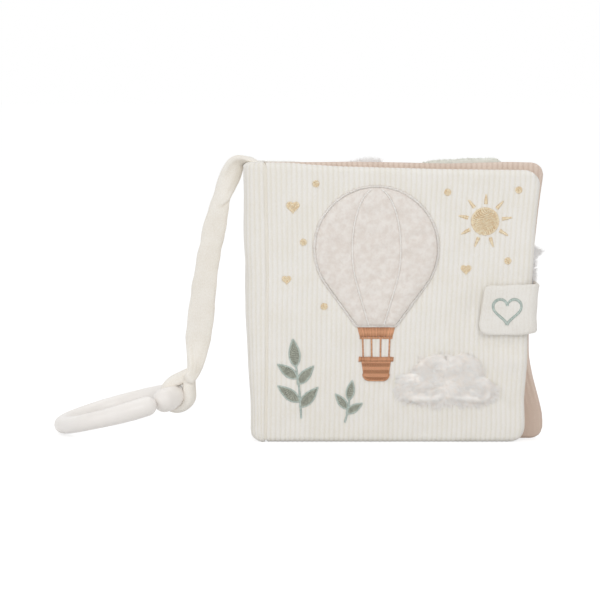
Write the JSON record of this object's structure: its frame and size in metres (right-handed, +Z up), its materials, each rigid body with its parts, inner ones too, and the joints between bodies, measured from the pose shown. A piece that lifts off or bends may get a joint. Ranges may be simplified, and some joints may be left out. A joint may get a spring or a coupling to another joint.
{
  "type": "cloth stroller book",
  "caption": "Padded cloth book standing upright, with ribbed jersey covers, plush balloon applique, closing tab, and a cloth strap carrying an open plastic clip ring.",
  "frame": {"origin": "middle of the leaves' foot, on the ground under the book", "axes": "+Z up, +X towards the fore edge, -Y towards the viewer, out of the front cover"},
  "size_m": [0.2405, 0.0745, 0.1398],
  "materials": {
    "cream_jersey": "cream narrow-rib jersey, matt",
    "tan_jersey": "pinkish tan narrow-rib jersey, matt",
    "strap_jersey": "cream fine jersey tube, matt",
    "short_plush": "off-white short-pile plush",
    "long_fur": "off-white long-pile faux fur",
    "grey_fur": "pale grey long-pile faux fur",
    "sage_plush": "pale sage short plush",
    "satin_cord": "white satin stitch cord, soft sheen",
    "brown_thread": "brown embroidery thread with a sheen",
    "gold_thread": "pale gold embroidery thread with a sheen",
    "sage_thread": "sage green embroidery thread with a sheen",
    "fastener": "white touch fastener",
    "ring_plastic": "glossy warm white moulded plastic"
  },
  "bodies": {
    "spine_block": {"spine_panel": "cream_jersey", "pages": "tan_jersey", "fur_tuft": "long_fur", "plush_leaf": "sage_plush", "fur_tail": "grey_fur", "strap": "strap_jersey", "strap_loop": "strap_jersey", "clip_ring": "ring_plastic"},
    "front_board": {"front_cover": "cream_jersey", "loop_patch": "fastener", "balloon_panel": "short_plush", "balloon_edging": "satin_cord", "balloon_skirt": "brown_thread", "balloon_ropes": "brown_thread", "basket": "brown_thread", "fur_cloud": "long_fur", "sun": "gold_thread", "gold_hearts": "gold_thread", "gold_dots": "gold_thread", "sprig_tall": "sage_thread", "sprig_short": "sage_thread"},
    "back_board": {"back_cover": "cream_jersey", "closing_tab": "cream_jersey", "hook_patch": "fastener", "tab_emblem": "sage_thread"}
  },
  "joints": [
    {"name": "front_cover_hinge", "type": "hinge", "parent": "spine_block", "child": "front_board", "pos_m": [-0.06165, -0.0152, 0.0675], "axis": [0, 0, -1], "range_deg": [0, 180], "deforming": ["closing_tab", "hook_patch", "tab_emblem"]},
    {"name": "back_cover_hinge", "type": "hinge", "parent": "spine_block", "child": "back_board", "pos_m": [-0.06165, 0.0152, 0.0675], "axis": [0, 0, 1], "range_deg": [0, 135]}
  ]
}
